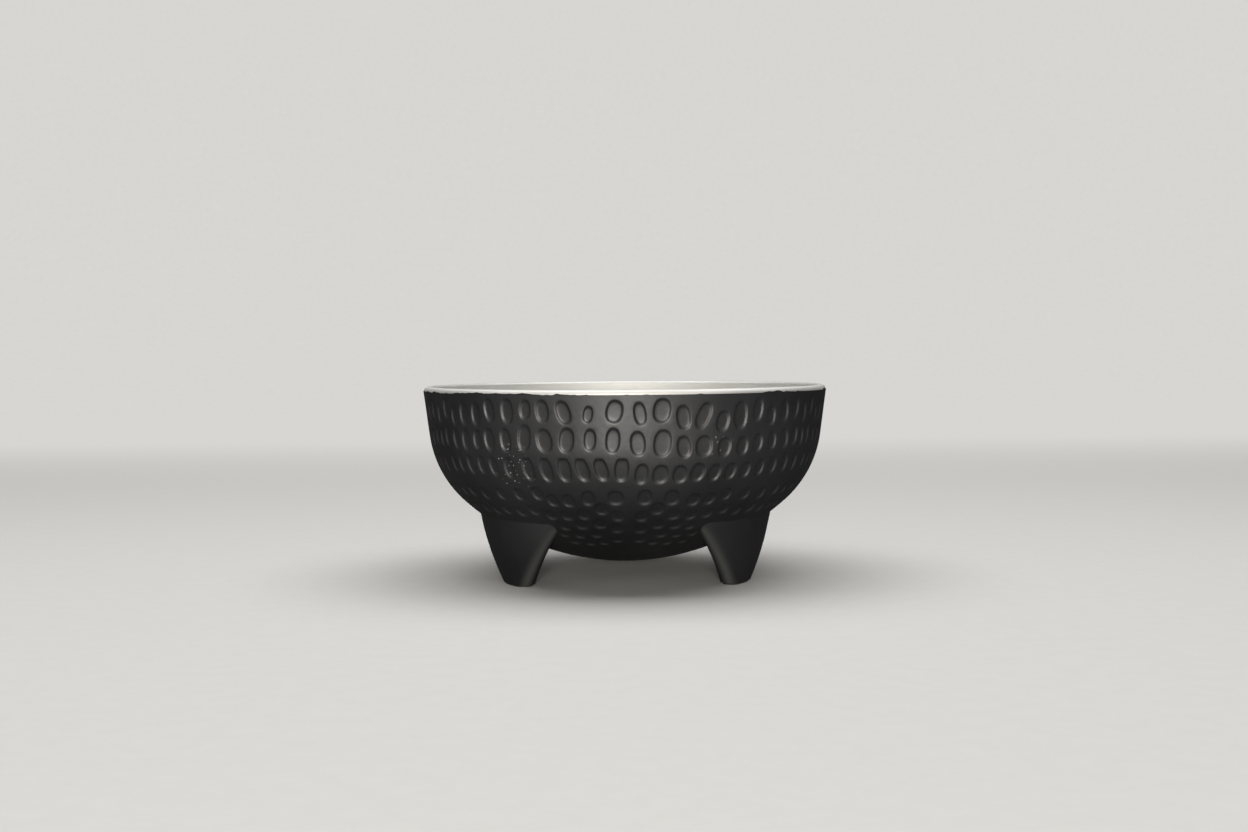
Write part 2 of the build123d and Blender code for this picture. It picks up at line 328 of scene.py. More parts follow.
class Dimple:
    """One recessed oval on the bowl."""

    def __init__(self, azimuth, drop, width, height, lean, top=None, left=None, right=None):
        self.azimuth, self.drop = radians(azimuth), drop * MM
        self.half_width, self.half_height = width / 2 * MM, height / 2 * MM
        self.lean = radians(lean)
        self.top, self.left, self.right = top, left, right  # straight cuts, as distances from the middle

    def reach(self, direction):
        """Distance from the middle to the edge, in a direction turned down from straight across."""
        turned = direction - self.lean
        across, down = cos(turned) / self.half_width, sin(turned) / self.half_height
        return 1 / (across**2 + down**2) ** 0.5

    def ring(self, outline, count, scale=1.0):
        """Azimuths and drops of the points around the oval, scaled about its middle."""
        turns = np.arange(count) * 2 * pi / count
        power = 2 / SQUARENESS
        across = self.half_width * np.sign(np.cos(turns)) * np.abs(np.cos(turns)) ** power
        down = self.half_height * np.sign(np.sin(turns)) * np.abs(np.sin(turns)) ** power
        x = across * cos(self.lean) - down * sin(self.lean)
        y = across * sin(self.lean) + down * cos(self.lean)
        if self.top is not None:
            y = np.maximum(y, self.top)
        if self.left is not None:
            x = np.maximum(x, self.left)
        if self.right is not None:
            x = np.minimum(x, self.right)
        drops = self.drop + y * scale
        radius = outline.place(drops)[0]
        return self.azimuth + x * scale / radius, drops

    def holds(self, x, y, margin):
        """Which points, placed from the oval's middle, lie in the oval or within a margin of it."""
        across = x * cos(self.lean) + y * sin(self.lean)
        down = -x * sin(self.lean) + y * cos(self.lean)
        a, b = self.half_width + margin, self.half_height + margin
        inside = np.abs(across / a) ** SQUARENESS + np.abs(down / b) ** SQUARENESS < 1
        if self.top is not None:
            inside &= y > self.top - margin
        if self.left is not None:
            inside &= x > self.left - margin
        if self.right is not None:
            inside &= x < self.right + margin
        return inside


def near_leg(azimuth, radius, height, margin):
    """Whether a point of the belly lies in a leg's outline or within a margin of it."""
    leg = LegShape()
    rise = height - leg.bottom
    bend = leg.offset + rise * tan(leg.lean)
    half_span = leg.half_span + rise * tan(leg.spread)
    turn = min(abs((azimuth - radians(a) + pi) % (2 * pi) - pi) for a in LEG_AZIMUTHS.values())
    beyond = max(0.0, radius * turn - half_span)
    to_plate = (beyond**2 + (radius - bend) ** 2) ** 0.5 - leg.thickness / 2
    to_lug = ((radius * turn) ** 2 + (radius - leg.offset) ** 2) ** 0.5 - leg.lug_top
    return min(to_plate, to_lug) < margin


def all_dimples(outline):
    """Every oval of the bowl, eased apart where two come too close."""
    random = Random(VARIED_SEED)
    dimples = []
    for sector in range(SECTORS):
        turn, vary = sector * 360.0 / SECTORS, 0.0 if sector == 0 else 1.0
        for number, row in enumerate(WALL_ROWS + BELLY_ROWS):
            for azimuth, drop, width, height, lean in row:
                lean += vary * random.uniform(-VARIED_LEAN, VARIED_LEAN)
                width *= 1 + vary * random.uniform(-VARIED_WIDTH, VARIED_WIDTH)
                side = radians(azimuth) * float(outline.place(np.array(drop * MM))[0])
                cuts = {}
                if number == 2 and azimuth < 0:
                    cuts["top"] = (STRAIGHT_TOP_DROP - drop) * MM
                elif drop > PARTING_START and azimuth < 0:
                    cuts["right"] = PARTING_LEFT * MM - side
                elif drop > PARTING_START:
                    cuts["left"] = PARTING_RIGHT * MM - side
                else:
                    drop += vary * random.uniform(-VARIED_DROP, VARIED_DROP)
                dimples.append(Dimple(azimuth + turn, drop, width, height, lean, **cuts))
    kept = []
    for dimple in dimples:
        radius, height = (float(v) for v in outline.place(np.array(dimple.drop)))
        if not near_leg(dimple.azimuth, radius, height, dimple.half_width + LEG_GAP * MM):
            kept.append(dimple)
    ease_apart(kept, outline)
    return kept


def ease_apart(dimples, outline):
    """Shrinks any two ovals that lie closer than the least wall between them."""
    passes, most_down, most_apart = 6, 11 * MM, 12 * MM  # two ovals farther apart than this never meet
    for _ in range(passes):
        for i, one in enumerate(dimples):
            for other in dimples[i + 1 :]:
                down = other.drop - one.drop
                if abs(down) > most_down:
                    continue
                radius = float(outline.place(np.array((one.drop + other.drop) / 2))[0])
                turn = (other.azimuth - one.azimuth + pi) % (2 * pi) - pi
                across = radius * turn
                distance = (across**2 + down**2) ** 0.5
                if distance > most_apart:
                    continue
                direction = np.arctan2(down, across)
                reach = one.reach(direction) + other.reach(direction)
                room = distance - DIMPLE_GAP * MM
                if reach > room:
                    for dimple in (one, other):
                        dimple.half_width *= 0.5 + 0.5 * room / reach
                        dimple.half_height *= 0.5 + 0.5 * room / reach


# ---------------------------------------------------------------------------------------------------
# The body: its outside is a flat net of points that keeps angles true, so that the bowl can be meshed
# as one disc with a hole for each oval, and then wrapped round


RIM_POINTS = 360  # points of the body's mesh round its top edge
RIM_WALL, BELLY_WALL = 2.0 * MM, 3.8 * MM  # thickness of the body at the top edge and at the axis
INSIDE_DRAFT = radians(9.5)
INSIDE_ROWS = 40


class FlatMap:
    """Maps the bowl's outside to a flat disc and keeps every small shape's angles."""

    def __init__(self, outline):
        self.drops = np.linspace(0, outline.length * 0.9995, 4000)
        radius = outline.place(self.drops)[0]
        steps = np.diff(self.drops) * (1 / radius[1:] + 1 / radius[:-1]) / 2
        self.radii = np.exp(-np.concatenate([[0.0], np.cumsum(steps)]))

    def flat(self, azimuth, drop):
        reach = np.interp(drop, self.drops, self.radii)
        return np.stack([reach * np.cos(azimuth), reach * np.sin(azimuth)], axis=-1)


def rows_between(outline, pitch, rim_count):
    """Evenly spread points of the bowl's outside, as azimuths and drops, after the rim's own row."""
    parting = [k * 2 * pi / SECTORS for k in range(SECTORS)]
    azimuths, drops = [], []
    row_count = round(outline.length / pitch)
    for row in range(1, row_count):
        drop = outline.length * row / row_count
        radius = float(outline.place(np.array(drop))[0])
        count = min(rim_count, max(6, round(2 * pi * radius / pitch)))
        around = (np.arange(count) + 0.5 * (row % 2)) * 2 * pi / count
        if drop > PARTING_START * MM and radius > PARTING_INNER_RADIUS * MM:
            for azimuth in parting:
                away = np.abs((around - azimuth + pi) % (2 * pi) - pi) * radius
                around = around[away > PARTING_BAND * MM]
            flash = [a + side * FLASH_HALF_WIDTH * MM / radius for a in parting for side in (-1, 0, 1)]
            around = np.concatenate([around, flash])
        azimuths.append(around)
        drops.append(np.full(len(around), drop))
    return np.concatenate(azimuths), np.concatenate(drops)


def flash_height(outline, azimuth, drop):
    """Height of the low flash line that the mould's upright joint leaves."""
    radius = outline.place(drop)[0]
    on_line = FLASH_HALF_WIDTH / 3 * MM
    shows = (drop > PARTING_START * MM) & (radius > PARTING_INNER_RADIUS * MM)
    height = np.zeros_like(drop)
    for k in range(SECTORS):
        parting = k * 2 * pi / SECTORS
        away = np.abs((azimuth - parting + pi) % (2 * pi) - pi) * radius
        height = np.where(shows & (away < on_line), FLASH_HEIGHT * MM, height)
    return height


def clear_of(dimples, outline, azimuth, drop, margin):
    """Which points lie outside every oval by a margin."""
    clear = np.ones(len(azimuth), bool)
    radius = outline.place(drop)[0]
    for dimple in dimples:
        x = ((azimuth - dimple.azimuth + pi) % (2 * pi) - pi) * radius
        clear &= ~dimple.holds(x, drop - dimple.drop, margin)
    return clear


def dimpled_skin(sizes, outline):
    """Points and faces of the body's outside, the rim's row first."""
    dimples = all_dimples(outline)
    ring_count = sizes.dimple_points
    rim_count = RIM_POINTS
    rim_azimuth = np.arange(rim_count) * 2 * pi / rim_count
    base_azimuth, base_drop = rows_between(outline, sizes.mesh_pitch, rim_count)
    clear = clear_of(dimples, outline, base_azimuth, base_drop, MESH_GAP * MM)
    base_azimuth, base_drop = base_azimuth[clear], base_drop[clear]
    rings = [dimple.ring(outline, ring_count) for dimple in dimples]
    azimuth = np.concatenate([rim_azimuth, base_azimuth] + [r[0] for r in rings])
    drop = np.concatenate([np.zeros(rim_count), base_drop] + [r[1] for r in rings])
    first_ring = rim_count + len(base_azimuth)

    edges = [(i, (i + 1) % rim_count) for i in range(rim_count)]
    for number in range(len(dimples)):
        start = first_ring + number * ring_count
        edges += [(start + i, start + (i + 1) % ring_count) for i in range(ring_count)]
    flat = FlatMap(outline).flat(azimuth, drop)
    net = delaunay_2d_cdt([Vector(p) for p in flat], edges, [], 0, 1e-9)
    if len(net[0]) != len(flat):
        raise RuntimeError(f"two ovals cross: {len(net[0])} net points for {len(flat)}")
    source = [ids[0] for ids in net[3]]
    faces = []
    for face in net[2]:
        corners = [source[i] for i in face]
        owners = {(c - first_ring) // ring_count if c >= first_ring else -1 - c for c in corners}
        if len(owners) > 1:
            faces.append(tuple(corners))
    points = [outline.points(azimuth, drop, -flash_height(outline, azimuth, drop))]

    total = len(azimuth)
    for number, dimple in enumerate(dimples):
        ring_start = first_ring + number * ring_count
        size = (dimple.half_width + dimple.half_height) / 2
        depth = sizes.dimple_depth * min(1.0, dimple.half_width / (FULL_DEPTH_HALF_WIDTH * MM))
        inset_unit = MM * min(1.0, size / (FULL_INSET_SIZE * MM))
        steps = [(1 - inset * inset_unit / size, share) for inset, share in DIMPLE_WALL]
        steps += DIMPLE_FLOOR
        for scale, share in steps:
            around, drops = dimple.ring(outline, ring_count, scale)
            points.append(outline.points(around, drops, depth * share))
            for i in range(ring_count):
                j = (i + 1) % ring_count
                faces.append((ring_start + i, ring_start + j, total + j, total + i))
            ring_start = total
            total += ring_count
        middle = outline.points(np.array([dimple.azimuth]), np.array([dimple.drop]), depth)
        points.append(middle)
        faces += [(ring_start + i, ring_start + (i + 1) % ring_count, total) for i in range(ring_count)]
        total += 1
    return np.concatenate(points), faces, rim_count


def inner_skin(sizes, rim_count):
    """Rows of points from the top edge's inside down to the axis."""
    rim_radius, bottom = sizes.rim_radius - RIM_WALL, sizes.belly_bottom + BELLY_WALL
    inside = BowlOutline(sizes, rim_radius, INSIDE_DRAFT, bottom)
    azimuth = np.arange(rim_count) * 2 * pi / rim_count
    drops = np.linspace(0, inside.length, INSIDE_ROWS)[:-1]
    rows = [inside.points(azimuth, np.full(rim_count, d)) for d in drops]
    return rows, inside.points(np.array([0.0]), np.array([inside.length]))


def bowl_body(sizes):
    """The body: its outside with the ovals, its top edge and its inside, in one closed mesh."""
    outline = body_outline(sizes)
    points, faces, rim_count = dimpled_skin(sizes, outline)
    rows, pole = inner_skin(sizes, rim_count)
    start, previous = len(points), 0
    for number in range(len(rows)):
        row_start = start + number * rim_count
        for i in range(rim_count):
            j = (i + 1) % rim_count
            faces.append((previous + i, previous + j, row_start + j, row_start + i))
        previous = row_start
    pole_index = start + len(rows) * rim_count
    faces += [(previous + i, previous + (i + 1) % rim_count, pole_index) for i in range(rim_count)]
    points = np.concatenate([points, *rows, pole])
    return mesh_object("bowl_shell", points, faces)


# ---------------------------------------------------------------------------------------------------
# The liner: a half section spun round the axis


def arc(centre, radius, start, end, count):
    """Points of an arc in the half section, its angles in degrees from level outwards."""
    turns = [radians(start + (end - start) * i / count) for i in range(count + 1)]
    return [(centre[0] + radius * cos(t), centre[1] + radius * sin(t)) for t in turns]


def bowl_liner(sizes):
    """The bright inside and its rounded lip, in one spun piece."""
    wall, draft, side_gap = 1.1 * MM, radians(10.6), 0.15 * MM
    outer_rim = sizes.rim_radius - RIM_WALL - side_gap
    bottom = float(LINER_BOX[0][2])
    outside = BowlOutline(sizes, outer_rim, draft, bottom)
    r_out, z_out = outside.place(np.linspace(0, 1, 60)[::-1] * outside.length)
    inside = BowlOutline(sizes, outer_rim - wall / cos(draft), draft, bottom + wall)
    r_in, z_in = inside.place(np.linspace(0, 1, 90) * inside.length)
    lip_top = float(LINER_BOX[1][2])
    lip_outer = sizes.rim_radius - sizes.lip_setback
    outer_round, inner_round = 1.45 * MM, 1.1 * MM
    section = list(zip(r_out, z_out))
    section.append((lip_outer, sizes.body_top))
    section += arc((lip_outer - outer_round, lip_top - outer_round), outer_round, 0, 90, 10)
    inner_centre = (float(r_in[0]) + inner_round, lip_top - inner_round)
    section += arc(inner_centre, inner_round, 90, 180, 10)
    section += list(zip(r_in, z_in))
    piece = mesh_from_section("liner_and_lip", section)
    select_only(piece)
    bpy.ops.object.mode_set(mode="EDIT")
    bpy.ops.mesh.select_all(action="SELECT")
    bpy.ops.mesh.spin(steps=288, angle=2 * pi, center=(0, 0, 0), axis=(0, 0, 1))
    bpy.ops.mesh.select_all(action="SELECT")
    bpy.ops.mesh.remove_doubles(threshold=2e-6)
    bpy.ops.mesh.normals_make_consistent(inside=False)
    bpy.ops.object.mode_set(mode="OBJECT")
    bpy.ops.object.shade_smooth_by_angle(angle=radians(50))
    return piece


def mesh_from_section(name, section):
    """A half section as an open line of edges in the XZ plane."""
    mesh = bpy.data.meshes.new(name)
    points = [(float(x), 0, float(z)) for x, z in section]
    mesh.from_pydata(points, [(i, i + 1) for i in range(len(section) - 1)], [])
    piece = bpy.data.objects.new(name, mesh)
    bpy.context.scene.collection.objects.link(piece)
    return piece


# ---------------------------------------------------------------------------------------------------
# Legs


class LegShape:
    """A curved plate that follows a cone about the bowl's axis, with round ends."""

    def __init__(self):
        self.bottom = 0.5 * MM
        self.offset = 41.9 * MM
        self.thickness = 7.2 * MM
        self.half_span = (13.8 * MM - self.thickness) / 2
        self.lean, self.spread = radians(12.8), radians(41.0)
        self.foot_round = 0.25 * MM
        self.pad_recess = (0.75 * MM, 1.05 * MM)  # inset from the foot's outline, height of the ceiling
        self.lug_top = 5.0 * MM  # room that the screw's lug takes up under the belly
        self.top = 26.5 * MM

    def section(self, height, inset, straight=10, bend=14):
        """Points of the leg's outline at a height, drawn in by an inset, for a leg at -Y."""
        rise = height - self.bottom
        radius = self.offset + rise * tan(self.lean)
        turn = asin((self.half_span + rise * tan(self.spread)) / radius)
        half = self.thickness / 2 - inset
        points = []
        for side, start in ((1, -turn), (-1, turn)):
            for i in range(straight):
                a = start + side * 2 * turn * i / straight
                points.append(self.polar(radius + side * half, a, height))
            end = side * turn
            for i in range(bend):
                t = pi * i / bend
                along, out = half * sin(t) * side, half * cos(t) * side
                r, a = radius + out, end + along / radius
                points.append(self.polar(r, a, height))
        return points

    @staticmethod
    def polar(radius, azimuth, height):
        """A point at an azimuth measured from -Y towards +X."""
        return Vector((radius * sin(azimuth), -radius * cos(azimuth), height))


def leg(place, azimuth, sizes):
    """One leg, from the recess for its pad up to just inside the belly's skin."""
    shape = LegShape()
    outline = body_outline(sizes)
    inset, ceiling = shape.pad_recess
    levels = [(ceiling, inset), (shape.bottom, inset)]
    round_steps, side_steps = 4, 26
    for i in range(round_steps + 1):
        t = pi / 2 * i / round_steps
        levels.append((shape.bottom + shape.foot_round * (1 - cos(t)), shape.foot_round * (1 - sin(t))))
    low = shape.bottom + shape.foot_round
    for i in range(1, side_steps + 1):
        levels.append((low + (shape.top - low) * i / side_steps, 0.0))
    points, faces = [], []
    for height, inset in levels:
        points += shape.section(height, inset)
    ring = len(points) // len(levels)
    for level in range(len(levels) - 1):
        for i in range(ring):
            j = (i + 1) % ring
            under, over = level * ring, (level + 1) * ring
            faces.append((under + i, under + j, over + j, over + i))
    faces.append(tuple(range(ring)))
    faces.append(tuple((len(levels) - 1) * ring + i for i in range(ring)))
    points = [sink_into_belly(p, outline) for p in points]
    turn = Matrix.Rotation(radians(azimuth), 4, "Z")
    return mesh_object(f"leg_{place}_casting", [turn @ p for p in points], faces, radians(40))


def sink_into_belly(point, outline, depth=1.0 * MM):
    """Stops a point of the leg a little inside the belly's skin."""
    radius = (point.x**2 + point.y**2) ** 0.5
    drops = np.linspace(outline.wall_length, outline.length, 600)
    r, z = outline.place(drops)
    belly = float(np.interp(radius, r[::-1], z[::-1]))
    slope = float(np.interp(radius, r[::-1], outline.slope(drops)[::-1]))
    return Vector((point.x, point.y, min(point.z, belly + depth / cos(slope))))


# ---------------------------------------------------------------------------------------------------
# Materials


class Nodes:
    """Short names for building a material's node tree."""

    def __init__(self, name):
        self.material = bpy.data.materials.new(name)
        self.material.use_nodes = True
        self.tree = self.material.node_tree
        self.shader = self.tree.nodes["Principled BSDF"]
        self.place = self.add("ShaderNodeTexCoord").outputs["Object"]

    def add(self, kind, **values):
        node = self.tree.nodes.new(kind)
        for key, value in values.items():
            setattr(node, key, value)
        return node

    def link(self, source, target):
        self.tree.links.new(source, target)

    def noise(self, scale, detail, roughness, place=None):
        """A noise of a number of cells to the metre."""
        node = self.add("ShaderNodeTexNoise")
        node.inputs["Scale"].default_value = scale
        node.inputs["Detail"].default_value = detail
        node.inputs["Roughness"].default_value = roughness
        self.link(place or self.place, node.inputs["Vector"])
        return node.outputs["Fac"]

    def remap(self, source, low, high, out_low, out_high, interpolation="LINEAR"):
        """A value taken from one range to another, and held at its ends."""
        node = self.add("ShaderNodeMapRange", interpolation_type=interpolation)
        node.inputs["From Min"].default_value = low
        node.inputs["From Max"].default_value = high
        node.inputs["To Min"].default_value = out_low
        node.inputs["To Max"].default_value = out_high
        self.link(source, node.inputs["Value"])
        return node.outputs["Result"]

    def coordinates(self):
        """The surface point's x, y and z, and its distance from the bowl's axis."""
        split = self.add("ShaderNodeSeparateXYZ")
        self.link(self.place, split.inputs[0])
        x, y, z = split.outputs
        squares = self.math("ADD", self.math("MULTIPLY", x, x), self.math("MULTIPLY", y, y))
        return x, y, z, self.math("SQRT", squares)

    def near(self, point, reach):
        """1 within half a distance of a point, falling to 0 at that distance."""
        node = self.add("ShaderNodeVectorMath", operation="DISTANCE")
        self.link(self.place, node.inputs[0])
        node.inputs[1].default_value = point
        return self.remap(node.outputs["Value"], reach, reach * 0.5, 0, 1)

    def mix(self, factor, one, other):
        """One colour at a factor of 0 and the other at 1."""
        node = self.add("ShaderNodeMix", data_type="RGBA")
        self.link(factor, node.inputs[0])
        for socket, value in ((node.inputs[6], one), (node.inputs[7], other)):
            if isinstance(value, tuple):
                socket.default_value = value
            else:
                self.link(value, socket)
        return node.outputs[2]

    def math(self, operation, one, other=None):
        """An operation on one or two values, each a number or another node's output."""
        node = self.add("ShaderNodeMath", operation=operation)
        for socket, value in ((node.inputs[0], one), (node.inputs[1], other)):
            if value is None:
                continue
            if isinstance(value, (int, float)):
                socket.default_value = value
            else:
                self.link(value, socket)
        return node.outputs[0]

    def bump(self, height, distance, strength, after=None):
        """Fine relief from a height, laid over an earlier one where given."""
        node = self.add("ShaderNodeBump")
        node.inputs["Distance"].default_value = distance
        node.inputs["Strength"].default_value = strength
        self.link(height, node.inputs["Height"])
        if after:
            self.link(after, node.inputs["Normal"])
        return node.outputs["Normal"]

    def set(self, **values):
        """Sets the shader's sockets, named with _ for a space."""
        for name, value in values.items():
            socket = self.shader.inputs[name.replace("_", " ")]
            if isinstance(value, (int, float, tuple)):
                socket.default_value = value
            else:
                self.link(value, socket)


def rgba(color, gain=1.0):
    """A colour made lighter or darker by a gain, with its alpha."""
    return (color[0] * gain, color[1] * gain, color[2] * gain, 1.0)


def leg_highlight_mask(n):
    """1 along the outward side of each leg's two round ends, where a paler colour is painted on as a
    highlight.
    """
    shape = LegShape()
    x, y, z, radius = n.coordinates()
    around = n.math("ADD", n.math("ARCTAN2", x, n.math("MULTIPLY", y, -1.0)), 2 * pi)
    turn = n.math("SUBTRACT", n.math("MODULO", around, 2 * pi / SECTORS), pi / SECTORS)
    rise = n.math("SUBTRACT", z, shape.bottom)
    half_span = n.math("ADD", n.math("MULTIPLY", rise, tan(shape.spread)), shape.half_span)
    beyond = n.math("SUBTRACT", n.math("MULTIPLY", n.math("ABSOLUTE", turn), radius), half_span)
    plate = n.math("ADD", n.math("MULTIPLY", rise, tan(shape.lean)), shape.offset)
    outward = n.math("SUBTRACT", radius, plate)
    inner_side = n.remap(outward, -1.0 * MM, 1.2 * MM, 0, 1)
    outer_side = n.remap(outward, 3.4 * MM, 1.9 * MM, 0, 1)
    end = n.remap(beyond, 0.6 * MM, 2.4 * MM, 0, 1)
    below = n.remap(z, 24.0 * MM, 20.0 * MM, 0, 1)
    return n.math("MULTIPLY", n.math("MULTIPLY", inner_side, outer_side), n.math("MULTIPLY", end, below))


CHIPPED_PLACES = (((-0.0366, -0.0543, 0.042), 0.009), ((0.0282, -0.0619, 0.049), 0.005))  # and their radii


def satin_black(finish, painted_highlight=False):
    """Satin black coat over a cast surface: fine grain, cloudy gloss, a few chips, painted highlight on legs.
    """
    n = Nodes("satin_black_leg_coat" if painted_highlight else "satin_black_coat")
    clouds = n.noise(38, 4, 0.55)
    grain = n.noise(2600, 3, 0.6)
    cast = n.noise(700, 4, 0.6)
    dark, light = rgba(finish.coat_color, 0.8), rgba(finish.coat_color, 1.35)
    tint = n.mix(n.remap(clouds, 0.3, 0.7, 0, 1), dark, light)
    chips = n.remap(n.noise(1150, 1, 0.5), 0.70, 0.73, 0, 1)
    near_chips = n.math("MAXIMUM", *(n.near(point, reach) for point, reach in CHIPPED_PLACES))
    bare = (0.42, 0.41, 0.39, 1)
    color = n.mix(n.math("MULTIPLY", chips, near_chips), tint, bare)
    cloudy = n.remap(clouds, 0.3, 0.7, finish.coat_roughness - 0.05, finish.coat_roughness + 0.05)
    rough = n.math("ADD", cloudy, n.remap(grain, 0.3, 0.7, -0.03, 0.03))
    # On the legs, a paler colour along the round ends is a painted highlight, standing in for light on them
    if painted_highlight:
        color = n.mix(leg_highlight_mask(n), color, rgba(finish.painted_highlight_color))
    low = n.bump(cast, 0.00012, 0.35)
    n.set(Base_Color=color, Roughness=rough, Normal=n.bump(grain, 0.00003, 0.5, low))
    n.shader.inputs["Specular IOR Level"].default_value = 1.0
    return n.material


LIP_FOOT = 64.5 * MM  # height of the black coat's upper edge
LIP_INSIDE = 69.0 * MM  # the coat creeps over the lip outside this radius


def turned_metal(finish):
    """Bright aluminium with fine circular marks from turning, soft stains and an uneven edge of coat."""
    n = Nodes("turned_aluminium")
    z, radius = n.coordinates()[2:]
    along = n.math("SUBTRACT", n.math("MULTIPLY", radius, 0.8), z)
    slow = n.noise(14, 2, 0.5)
    wavering = n.math("ADD", along, n.math("MULTIPLY", slow, 0.0006))
    line = n.add("ShaderNodeCombineXYZ")
    n.link(wavering, line.inputs[0])
    fine = n.noise(5200, 4, 0.65, line.outputs[0])
    broad = n.noise(900, 3, 0.6, line.outputs[0])
    stain = n.noise(26, 5, 0.6)
    tone = n.math("ADD", n.math("MULTIPLY", fine, 0.35), n.math("MULTIPLY", broad, 0.65))
    dark, light = rgba(finish.metal_color, 0.86), rgba(finish.metal_color, 1.04)
    ground = n.mix(n.remap(tone, 0.3, 0.7, 0, 1), dark, light)
    color = n.mix(n.remap(stain, 0.52, 0.75, 0, 0.45), ground, rgba((0.56, 0.53, 0.48)))
    rough = n.math("ADD", n.remap(tone, 0.3, 0.7, 0.60, 0.70), n.remap(stain, 0.35, 0.75, 0.0, 0.06))
    creep = n.remap(n.noise(85, 3, 0.6), 0.44, 0.66, -0.0001, 0.0007)
    low = n.math("LESS_THAN", n.math("SUBTRACT", z, LIP_FOOT), creep)
    coated = n.math("MULTIPLY", low, n.math("GREATER_THAN", radius, LIP_INSIDE))
    color = n.mix(coated, color, rgba(finish.coat_color, 1.2))
    n.set(Base_Color=color, Roughness=rough, Normal=n.bump(tone, 0.00004, 0.6))
    n.set(Metallic=n.math("SUBTRACT", 1.0, coated))
    return n.material


def pad_rubber():
    """Matt black rubber with a fine mottled grain and dust in it."""
    n = Nodes("pad_rubber")
    grain, dust = n.noise(2200, 3, 0.6), n.noise(240, 4, 0.6)
    color = n.mix(n.remap(dust, 0.45, 0.8, 0, 0.5), (0.012, 0.012, 0.012, 1), (0.06, 0.058, 0.055, 1))
    rough = n.remap(grain, 0.3, 0.7, 0.72, 0.86)
    n.set(Base_Color=color, Roughness=rough, Normal=n.bump(grain, 0.00004, 0.5))
    return n.material


def screw_steel():
    """Zinc-plated steel with a slight mottle."""
    n = Nodes("screw_steel")
    mottle, fine = n.noise(420, 4, 0.6), n.noise(3000, 2, 0.5)
    color = n.mix(n.remap(mottle, 0.35, 0.7, 0, 1), (0.46, 0.46, 0.47, 1), (0.62, 0.62, 0.61, 1))
    rough = n.remap(mottle, 0.3, 0.7, 0.28, 0.42)
    n.set(Base_Color=color, Roughness=rough, Normal=n.bump(fine, 0.00002, 0.4), Metallic=1.0)
    return n.material


# Distances along Y for the stage, in metres
EVEN_FROM, EVEN_TO = 0.12, 0.85  # behind the bowl the stage turns from lit to evenly pale
AHEAD_START, AHEAD_RATE = 0.42, -3.0  # in front it starts this far out and turns three times as fast
THROWN_FROM, THROWN_TO = -0.012, -0.05  # the floor throws more light on the front of the bowl


def stage_surface(finish):
    """Pale floor and backdrop, lit near the bowl and evenly pale far from it.

    Both throw less light on the bowl than so pale a surface would, to keep its underside dark.
    """
    n = Nodes("pale_stage")
    dark, light = rgba(finish.stage_color, 0.985), rgba(finish.stage_color, 1.015)
    pale = n.mix(n.remap(n.noise(160, 5, 0.6), 0.3, 0.7, 0, 1), dark, light)
    seen = n.add("ShaderNodeLightPath").outputs["Is Camera Ray"]
    y = n.coordinates()[1]
    ahead = n.math("MULTIPLY", n.math("ADD", y, AHEAD_START), AHEAD_RATE)
    away = n.math("MAXIMUM", y, ahead)
    even = n.math("MULTIPLY", seen, n.remap(away, EVEN_FROM, EVEN_TO, 0, 1, "SMOOTHSTEP"))
    front = n.remap(y, THROWN_FROM, THROWN_TO, 0, 1, "SMOOTHSTEP")
    thrown = n.mix(front, (0.045, 0.046, 0.048, 1), (0.13, 0.132, 0.138, 1))
    color = n.mix(even, n.mix(seen, thrown, pale), (0.0, 0.0, 0.0, 1))
    n.set(Base_Color=color, Roughness=0.85, Emission_Color=pale, Emission_Strength=even)
    n.shader.inputs["Specular IOR Level"].default_value = 0.0
    return n.material


# ---------------------------------------------------------------------------------------------------
# Camera, lamps and stage


def aim(thing, target):
    """Turns a lamp to face a point."""
    direction = Vector(target) - thing.location
    thing.rotation_euler = direction.to_track_quat("-Z", "Y").to_euler()


def camera():
    """The camera stands in front of the bowl, a little above its rim."""
    data = bpy.data.cameras.new("camera")
    view = bpy.data.objects.new("camera", data)
    bpy.context.scene.collection.objects.link(view)
    data.sensor_width, data.lens, data.shift_y = 36.0, 44.375, -0.0998
    data.clip_start, data.clip_end = 0.01, 20.0
    around, distance, height = radians(-1.44), 0.5403, 0.07814
    view.location = (distance * sin(around), -distance * cos(around), height)
    tilt, roll = radians(-2.19), radians(-0.40)
    turn = Matrix.Rotation(around, 4, "Z") @ Matrix.Rotation(pi / 2 - tilt, 4, "X")
    view.rotation_euler = (turn @ Matrix.Rotation(roll, 4, "Z")).to_euler()
    bpy.context.scene.camera = view


def area_lamp(name, place, target, size, power, color=(1.0, 1.0, 1.0)):
    """A flat rectangular lamp."""
    data = bpy.data.lights.new(name, "AREA")
    data.shape, data.size, data.size_y = "RECTANGLE", size[0], size[1]
    data.energy, data.color = power, color
    lamp = bpy.data.objects.new(name, data)
    lamp.location = place
    aim(lamp, target)
    bpy.context.scene.collection.objects.link(lamp)


def lamps():
    """A soft lamp low in front, a large one overhead, and a weak one from the left."""
    middle = (0.0, 0.0, 0.04)
    area_lamp("key", (-0.04, -1.04, 0.095), middle, (0.24, 0.17), 10.3, (1.0, 0.955, 0.905))
    area_lamp("overhead", (0.0, 0.0, 0.95), (0.0, 0.0, 0.0), (1.7, 0.9), 12.5)
    area_lamp("left", (-0.93, -0.52, 0.15), middle, (0.35, 0.25), 0.45, (1.0, 0.98, 0.95))


